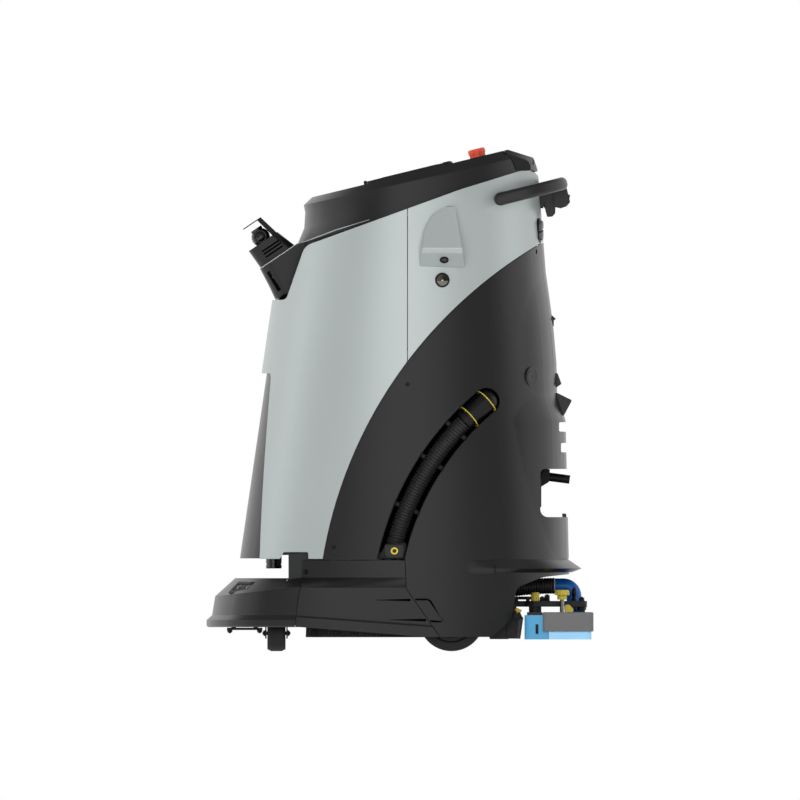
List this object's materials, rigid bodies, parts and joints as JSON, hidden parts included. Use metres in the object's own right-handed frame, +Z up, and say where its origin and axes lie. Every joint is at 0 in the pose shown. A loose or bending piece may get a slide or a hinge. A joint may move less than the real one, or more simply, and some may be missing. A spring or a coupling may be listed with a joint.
{
  "type": "robotic floor scrubber",
  "caption": "Upright autonomous floor scrubber with drafted grey shells, dark wrap-around covers, sensor turret, disc brushes on a lifting deck and a lifting rear squeegee.",
  "frame": {"origin": "on the floor under the middle of the machine's length and width", "axes": "+X forward, +Y to the machine's left, +Z up"},
  "size_m": [0.805, 0.592, 1.0483],
  "materials": {
    "grey_shell": "moulded satin grey",
    "dark_cover": "moulded fine-grain charcoal",
    "black_deck": "moulded satin black",
    "scanner_dome": "polished black window",
    "screen_glass": "polished black glass",
    "handle_grip": "soft-touch black",
    "frame_steel": "black powder coat",
    "plated_steel": "zinc plated",
    "tank_plastic": "moulded natural polyethylene",
    "battery_case": "moulded black",
    "motor_casing": "cast and painted",
    "hose_black": "ribbed black",
    "flap_rubber": "moulded black",
    "tyre_rubber": "moulded black",
    "hub_alloy": "cast",
    "bristle": "black nylon",
    "hood_grey": "moulded grey",
    "blade_pale": "translucent pale blue",
    "blade_blue": "blue polyurethane",
    "yellow_knob": "moulded yellow",
    "stop_red": "moulded red",
    "push_button": "moulded black"
  },
  "bodies": {
    "body": {"chassis_frame": "frame_steel", "body_cage": "frame_steel", "front_shell": "grey_shell", "rear_shell": "grey_shell", "left_side_cover": "dark_cover", "right_side_cover": "dark_cover", "rear_panel": "dark_cover", "rear_hook": "black_deck", "front_panel": "dark_cover", "top_deck": "black_deck", "console": "black_deck", "display_screen": "screen_glass", "push_handle": "handle_grip", "rear_camera": "black_deck", "button_bezel": "black_deck", "turret_base": "black_deck", "turret_head": "black_deck", "turret_lidar": "scanner_dome", "turret_visor": "black_deck", "side_camera_fairings": "grey_shell", "side_sensors": "scanner_dome", "lidar_scanner": "scanner_dome", "front_bumper": "dark_cover", "left_skirt": "dark_cover", "right_skirt": "dark_cover", "clean_water_tank": "tank_plastic", "recovery_tank": "tank_plastic", "battery_pack": "battery_case", "vacuum_motor": "motor_casing", "control_box": "battery_case", "drain_hose": "hose_black", "drain_plug": "black_deck", "hose_cradle": "black_deck", "splash_guards": "flap_rubber", "vacuum_hose": "hose_black"},
    "left_wheel": {"left_drive_tyre": "tyre_rubber", "left_drive_hub": "hub_alloy"},
    "right_wheel": {"right_drive_tyre": "tyre_rubber", "right_drive_hub": "hub_alloy"},
    "left_swivel": {"left_caster_fork": "plated_steel"},
    "left_caster": {"left_caster_wheel": "tyre_rubber"},
    "right_swivel": {"right_caster_fork": "plated_steel"},
    "right_caster": {"right_caster_wheel": "tyre_rubber"},
    "scrub_head": {"brush_deck": "hub_alloy", "brush_motors": "motor_casing"},
    "left_disc": {"left_brush": "bristle"},
    "right_disc": {"right_brush": "bristle"},
    "squeegee": {"squeegee_carrier": "plated_steel", "squeegee_housing": "hood_grey", "squeegee_front_blade": "blade_blue", "squeegee_rear_blade": "blade_pale", "suction_elbow": "blade_blue", "clamp_knobs": "yellow_knob"},
    "left_knob": {"left_pitch_knob": "yellow_knob"},
    "right_knob": {"right_pitch_knob": "yellow_knob"},
    "e_stop": {"e_stop_button": "stop_red"},
    "upper_key": {"upper_button": "push_button"},
    "lower_key": {"lower_button": "push_button"},
    "hatch": {"tank_hatch": "black_deck"}
  },
  "joints": [
    {"name": "left_wheel_spin", "type": "hinge", "parent": "body", "child": "left_wheel", "pos_m": [-0.107, 0.226, 0.069], "axis": [0, 1, 0], "continuous": true},
    {"name": "left_caster_swivel", "type": "hinge", "parent": "body", "child": "left_swivel", "pos_m": [0.257, 0.19, 0.09], "axis": [0, 0, 1], "continuous": true},
    {"name": "left_caster_spin", "type": "hinge", "parent": "left_swivel", "child": "left_caster", "pos_m": [0.257, 0.165, 0.0375], "axis": [1, 0, 0], "continuous": true},
    {"name": "right_wheel_spin", "type": "hinge", "parent": "body", "child": "right_wheel", "pos_m": [-0.107, -0.226, 0.069], "axis": [0, 1, 0], "continuous": true},
    {"name": "right_caster_swivel", "type": "hinge", "parent": "body", "child": "right_swivel", "pos_m": [0.257, -0.19, 0.09], "axis": [0, 0, 1], "continuous": true},
    {"name": "right_caster_spin", "type": "hinge", "parent": "right_swivel", "child": "right_caster", "pos_m": [0.257, -0.215, 0.0375], "axis": [1, 0, 0], "continuous": true},
    {"name": "brush_lift", "type": "slide", "parent": "body", "child": "scrub_head", "axis": [0, 0, 1], "range_m": [-0.029, 0]},
    {"name": "left_brush_spin", "type": "hinge", "parent": "scrub_head", "child": "left_disc", "pos_m": [0.07, 0.128, 0.07], "axis": [0, 0, 1], "continuous": true},
    {"name": "right_brush_spin", "type": "hinge", "parent": "scrub_head", "child": "right_disc", "pos_m": [0.07, -0.128, 0.07], "axis": [0, 0, 1], "continuous": true},
    {"name": "squeegee_lift", "type": "slide", "parent": "body", "child": "squeegee", "axis": [0, 0, 1], "range_m": [-0.0245, 0], "deforming": ["vacuum_hose"]},
    {"name": "left_knob_turn", "type": "hinge", "parent": "squeegee", "child": "left_knob", "pos_m": [-0.337, 0.138, 0.1], "axis": [0, 0, 1], "continuous": true},
    {"name": "right_knob_turn", "type": "hinge", "parent": "squeegee", "child": "right_knob", "pos_m": [-0.337, -0.138, 0.1], "axis": [0, 0, 1], "continuous": true},
    {"name": "e_stop_press", "type": "slide", "parent": "body", "child": "e_stop", "axis": [0.2363, 0, 0.9717], "range_m": [-0.004, 0], "stiffness_N_per_m": 1500},
    {"name": "upper_button_press", "type": "slide", "parent": "body", "child": "upper_key", "axis": [-0.9755, 0.2201, 0], "range_m": [-0.0018, 0], "stiffness_N_per_m": 800},
    {"name": "lower_button_press", "type": "slide", "parent": "body", "child": "lower_key", "axis": [-0.9755, 0.2201, 0], "range_m": [-0.0018, 0], "stiffness_N_per_m": 800},
    {"name": "hatch_open", "type": "hinge", "parent": "body", "child": "hatch", "pos_m": [0.07224, 0, 0.97531], "axis": [0, 1, 0], "range_deg": [0, 100]}
  ]
}
